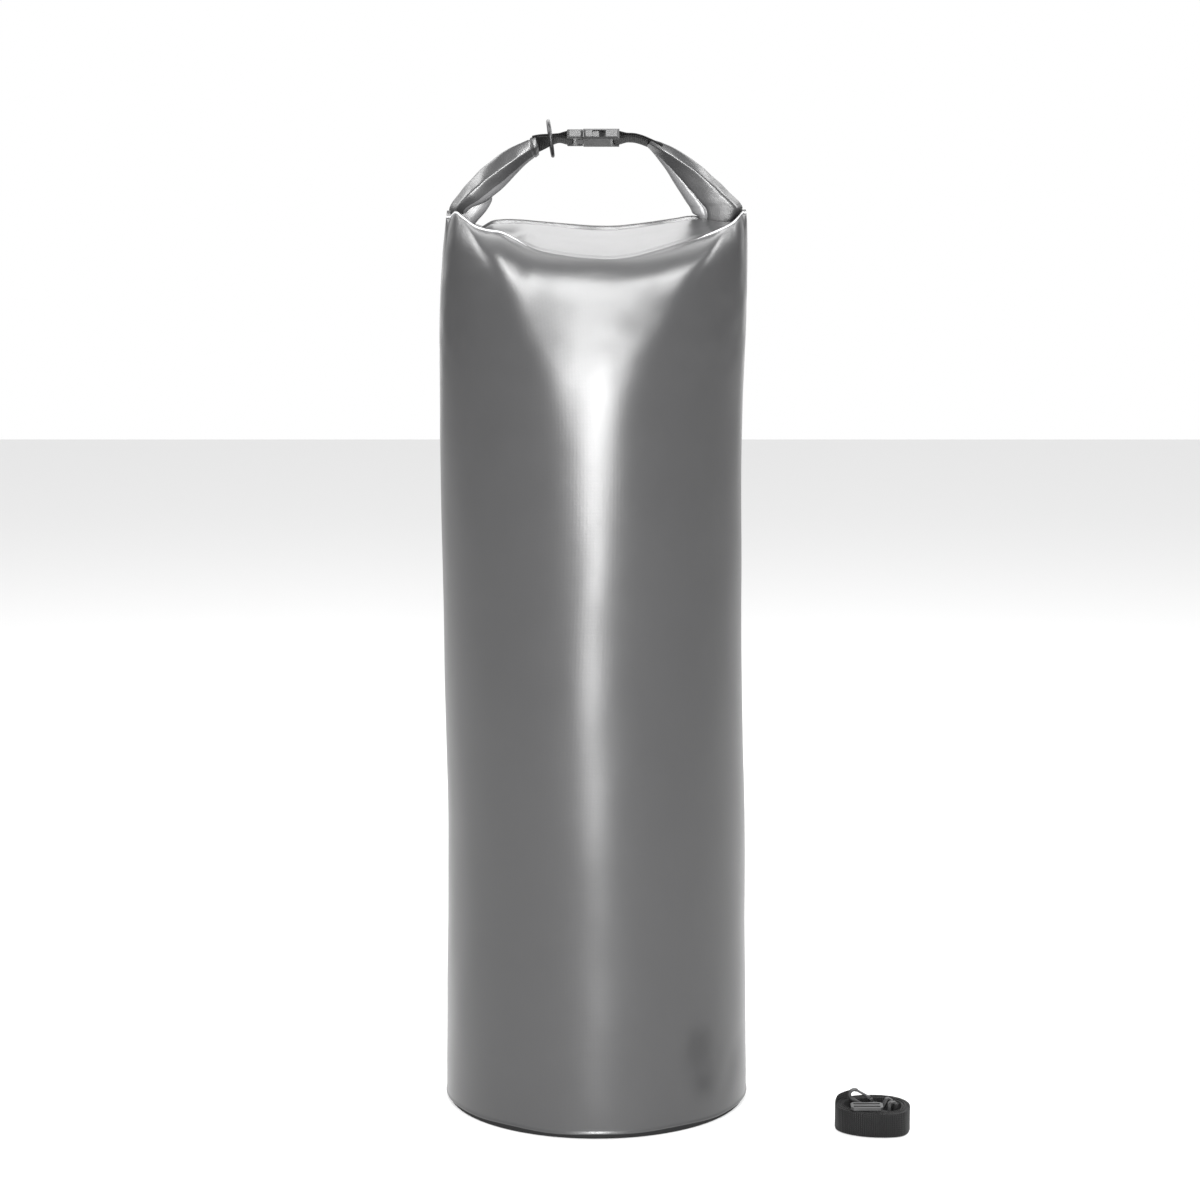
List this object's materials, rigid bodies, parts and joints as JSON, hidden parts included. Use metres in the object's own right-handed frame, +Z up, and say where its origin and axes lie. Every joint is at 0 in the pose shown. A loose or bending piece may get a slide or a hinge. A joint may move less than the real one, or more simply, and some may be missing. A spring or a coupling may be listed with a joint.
{
  "type": "roll-top rope bag",
  "caption": "Tall round roll-top dry bag for rope, its rolled mouth bent up into a buckled carrying loop, with a rolled shoulder strap beside it.",
  "frame": {"origin": "centre of the round base, on the floor", "axes": "+Z up along the bag, +X to the right seen from the front, -Y is the front"},
  "size_m": [0.455, 0.3109, 0.9677],
  "materials": {
    "coated_fabric": "satin",
    "stiffener_plastic": "matte",
    "webbing": "matte",
    "buckle_plastic": "satin",
    "hook_plastic": "satin",
    "ring_metal": "gloss",
    "gate_steel": "satin"
  },
  "bodies": {
    "bag": {"sleeve": "coated_fabric", "gathered_top": "coated_fabric", "base_panel": "coated_fabric", "base_seam_tape": "coated_fabric", "back_seam_tape": "coated_fabric", "rolled_mouth": "coated_fabric", "mouth_stiffener": "stiffener_plastic", "left_shoulder_fold": "coated_fabric", "right_shoulder_fold": "coated_fabric", "lower_patch": "coated_fabric", "lower_web_loop": "webbing"},
    "loop": {"right_arm": "coated_fabric", "right_webbing": "webbing", "buckle_socket": "buckle_plastic"},
    "plug_end": {"left_arm": "coated_fabric", "left_webbing": "webbing", "buckle_plug": "buckle_plastic"},
    "front_prong": {"prong_front": "buckle_plastic"},
    "back_prong": {"prong_back": "buckle_plastic"},
    "round_ring": {"top_ring": "ring_metal"},
    "d_ring": {"lower_d_ring": "ring_metal"},
    "strap": {"strap_webbing": "webbing", "hook_a_end_loop": "webbing", "hook_a_swivel_base": "hook_plastic", "hook_b_end_loop": "webbing", "hook_b_swivel_base": "hook_plastic"},
    "slider": {"strap_slider": "buckle_plastic"},
    "hook_a": {"hook_a_body": "hook_plastic"},
    "hook_a_gate": {"hook_a_gate": "gate_steel"},
    "hook_b": {"hook_b_body": "hook_plastic"},
    "hook_b_gate": {"hook_b_gate": "gate_steel"}
  },
  "joints": [
    {"name": "handle_swing", "type": "hinge", "parent": "bag", "child": "loop", "pos_m": [0, 0, 0.878], "axis": [1, 0, 0], "range_deg": [-30, 30]},
    {"name": "buckle_release", "type": "slide", "parent": "loop", "child": "plug_end", "axis": [-1, 0, 0], "range_m": [0, 0.045]},
    {"name": "front_prong_pinch", "type": "hinge", "parent": "plug_end", "child": "front_prong", "pos_m": [-0.0153, -0.0098, 0.95281], "axis": [0, 0.2756, 0.9613], "range_deg": [-6, 8], "stiffness_Nm_per_rad": 0.05},
    {"name": "back_prong_pinch", "type": "hinge", "parent": "plug_end", "child": "back_prong", "pos_m": [-0.0153, 0.0098, 0.94719], "axis": [0, -0.2756, -0.9613], "range_deg": [-6, 8], "stiffness_Nm_per_rad": 0.05},
    {"name": "top_ring_tilt", "type": "hinge", "parent": "plug_end", "child": "round_ring", "pos_m": [-0.044, -0.0008, 0.9494], "axis": [0, 0.9613, -0.2756], "range_deg": [-30, 12]},
    {"name": "d_ring_swing", "type": "hinge", "parent": "bag", "child": "d_ring", "pos_m": [0, 0.1569, 0.078], "axis": [1, 0, 0], "range_deg": [0, 150]},
    {"name": "strap_lift", "type": "slide", "parent": "bag", "child": "strap", "axis": [0, 0, 1], "range_m": [0, 0.3]},
    {"name": "slider_travel", "type": "slide", "parent": "strap", "child": "slider", "axis": [0, 1, 0], "range_m": [-0.004, 0.006]},
    {"name": "hook_a_swivel", "type": "hinge", "parent": "strap", "child": "hook_a", "pos_m": [0.275, -0.106, 0.0174], "axis": [-0.866, 0, 0.5], "continuous": true},
    {"name": "hook_a_gate_open", "type": "hinge", "parent": "hook_a", "child": "hook_a_gate", "pos_m": [0.26463, -0.106, 0.02904], "axis": [0, -1, 0], "range_deg": [0, 30], "stiffness_Nm_per_rad": 0.01},
    {"name": "hook_b_swivel", "type": "hinge", "parent": "strap", "child": "hook_b", "pos_m": [0.282, -0.12, 0.015], "axis": [-1, 0, 0], "continuous": true},
    {"name": "hook_b_gate_open", "type": "hinge", "parent": "hook_b", "child": "hook_b_gate", "pos_m": [0.2672, -0.12, 0.0199], "axis": [0, -1, 0], "range_deg": [0, 30], "stiffness_Nm_per_rad": 0.01}
  ]
}
